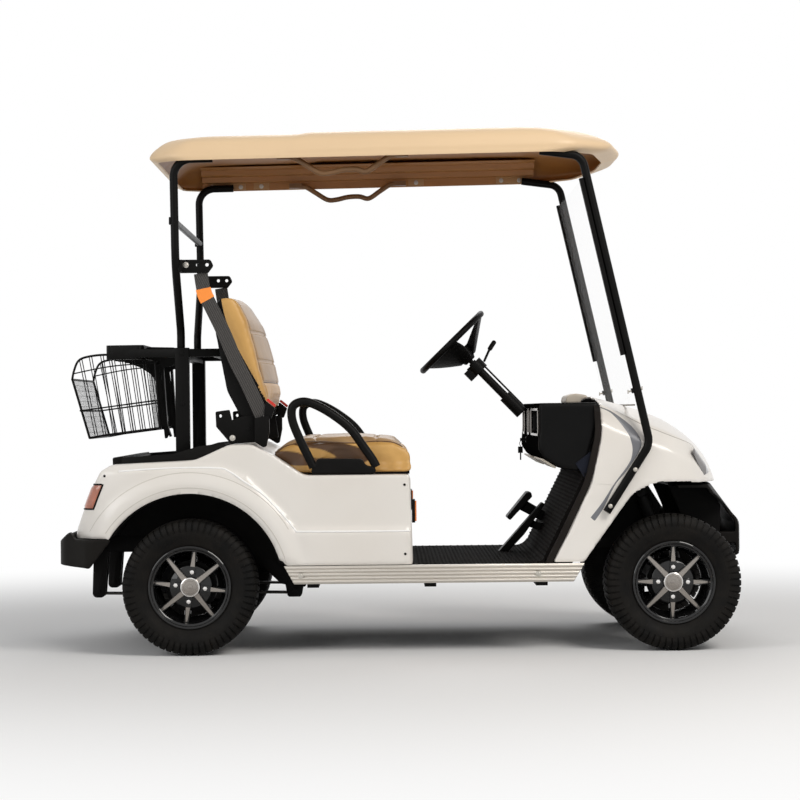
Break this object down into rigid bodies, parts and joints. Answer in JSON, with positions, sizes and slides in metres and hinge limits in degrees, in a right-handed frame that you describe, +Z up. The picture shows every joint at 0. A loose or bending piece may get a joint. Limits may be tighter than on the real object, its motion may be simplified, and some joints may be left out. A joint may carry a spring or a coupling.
{
  "type": "golf cart",
  "caption": "Two-seat golf cart with a moulded roof on posts, bench seat, windshield, bag rack and basket; wheels roll, front wheels steer and the seat lid lifts.",
  "frame": {"origin": "on the ground, under the middle of the cart's overall length and width", "axes": "+X towards the cart's front, +Y its left side, +Z up"},
  "size_m": [2.3924, 1.17, 1.7944],
  "materials": {
    "black_steel": "satin black powder coat",
    "axle_steel": "dull black paint",
    "motor_paint": "dull dark grey paint",
    "spring_steel": "dark oiled steel",
    "pan_plastic": "grained black",
    "mat_rubber": "ribbed mat",
    "sill_aluminium": "ribbed, bright drawn",
    "body_white": "gloss white",
    "deck_plastic": "grained black",
    "liner_plastic": "plain black",
    "bumper_plastic": "fine grained black",
    "battery_case": "plain dark grey",
    "trim_rubber": "smooth",
    "dash_plastic": "gloss black",
    "pod_plastic": "pale beige",
    "black_plastic": "satin black",
    "roof_plastic": "beige moulded roof",
    "post_paint": "satin black powder coat",
    "rack_paint": "satin black powder coat",
    "handle_brown": "brown coated",
    "windshield_acrylic": "clear",
    "channel_rubber": "matt",
    "seat_leather": "tan vinyl leather, stitched",
    "basket_wire": "black coated wire",
    "belt_webbing": "dark grey woven webbing",
    "headlamp_lens": "smoked lens",
    "tail_lens": "red lens",
    "reflector_orange": "orange lens",
    "restraint_foam": "moulded soft black",
    "wheel_plastic": "soft grained black",
    "tyre_rubber": "black, light road tread",
    "rim_black": "gloss black with machined spoke faces"
  },
  "bodies": {
    "chassis": {"frame": "black_steel", "frame_rear": "black_steel", "frame_front": "black_steel", "rear_axle": "axle_steel", "drive_motor": "motor_paint", "leaf_springs": "spring_steel", "front_axle": "axle_steel", "front_shocks": "black_steel", "floor_pan": "pan_plastic", "floor_mat": "mat_rubber", "sill_left": "sill_aluminium", "sill_right": "sill_aluminium", "rear_body": "body_white", "bag_deck": "deck_plastic", "rear_liners": "liner_plastic", "rear_bumper": "bumper_plastic", "battery_pack": "battery_case", "front_cowl": "body_white", "cowl_trim": "trim_rubber", "dash": "dash_plastic", "instrument_pod": "pod_plastic", "front_bumper": "bumper_plastic", "front_liners": "liner_plastic", "steering_column": "black_steel", "shift_lever": "black_plastic", "brake_pedal": "black_steel", "accelerator_pedal": "black_steel", "roof": "roof_plastic", "front_posts": "post_paint", "rear_posts": "post_paint", "grab_handles": "handle_brown", "windshield": "windshield_acrylic", "windshield_channels": "channel_rubber", "backrest_cushion": "seat_leather", "backrest_shell": "black_plastic", "backrest_brackets": "black_steel", "bag_rack": "rack_paint", "basket": "basket_wire", "seat_belts": "belt_webbing", "belt_anchors": "black_steel", "belt_retractors": "black_plastic", "headlamps": "headlamp_lens", "tail_lamps": "tail_lens", "reflectors": "reflector_orange"},
    "seat_lid": {"seat_board": "black_plastic", "seat_cushion": "seat_leather", "hip_restraints": "restraint_foam"},
    "steering_wheel_body": {"steering_wheel": "wheel_plastic"},
    "knuckle_left_body": {"knuckle_left": "axle_steel"},
    "knuckle_right_body": {"knuckle_right": "axle_steel"},
    "tie_rod_body": {"tie_rod": "axle_steel"},
    "wheel_front_left": {"tyre_front_left": "tyre_rubber", "rim_front_left": "rim_black"},
    "wheel_front_right": {"tyre_front_right": "tyre_rubber", "rim_front_right": "rim_black"},
    "wheel_rear_left": {"tyre_rear_left": "tyre_rubber", "rim_rear_left": "rim_black"},
    "wheel_rear_right": {"tyre_rear_right": "tyre_rubber", "rim_rear_right": "rim_black"}
  },
  "joints": [
    {"name": "steer_right", "type": "hinge", "parent": "chassis", "child": "knuckle_right_body", "pos_m": [0.9085, -0.367, 0.232], "axis": [0, 0, 1], "range_deg": [-28, 28]},
    {"name": "steer_left", "type": "hinge", "parent": "chassis", "child": "knuckle_left_body", "pos_m": [0.9085, 0.367, 0.232], "axis": [0, 0, 1], "range_deg": [-28, 28]},
    {"name": "steering_turn", "type": "hinge", "parent": "chassis", "child": "steering_wheel_body", "pos_m": [0.1825, 0.25, 1.081], "axis": [-0.6947, 0, 0.7193], "range_deg": [-420, 420]},
    {"name": "tie_rod_slide", "type": "slide", "parent": "chassis", "child": "tie_rod_body", "axis": [0, 1, 0], "range_m": [-0.0514, 0.0514]},
    {"name": "wheel_front_left_spin", "type": "hinge", "parent": "knuckle_left_body", "child": "wheel_front_left", "pos_m": [0.9085, 0.475, 0.232], "axis": [0, 1, 0], "continuous": true},
    {"name": "wheel_front_right_spin", "type": "hinge", "parent": "knuckle_right_body", "child": "wheel_front_right", "pos_m": [0.9085, -0.475, 0.232], "axis": [0, 1, 0], "continuous": true},
    {"name": "wheel_rear_left_spin", "type": "hinge", "parent": "chassis", "child": "wheel_rear_left", "pos_m": [-0.7415, 0.486, 0.232], "axis": [0, 1, 0], "continuous": true},
    {"name": "wheel_rear_right_spin", "type": "hinge", "parent": "chassis", "child": "wheel_rear_right", "pos_m": [-0.7415, -0.486, 0.232], "axis": [0, 1, 0], "continuous": true},
    {"name": "seat_lid_hinge", "type": "hinge", "parent": "chassis", "child": "seat_lid", "pos_m": [-0.4415, 0, 0.69], "axis": [0, -1, 0], "range_deg": [0, 70]}
  ],
  "couplings": [
    {"joint": "steer_left", "follows": "steer_right", "ratio": 1},
    {"joint": "steering_turn", "follows": "steer_right", "ratio": 15},
    {"joint": "tie_rod_slide", "follows": "steer_right", "m_per_rad": -0.105}
  ]
}
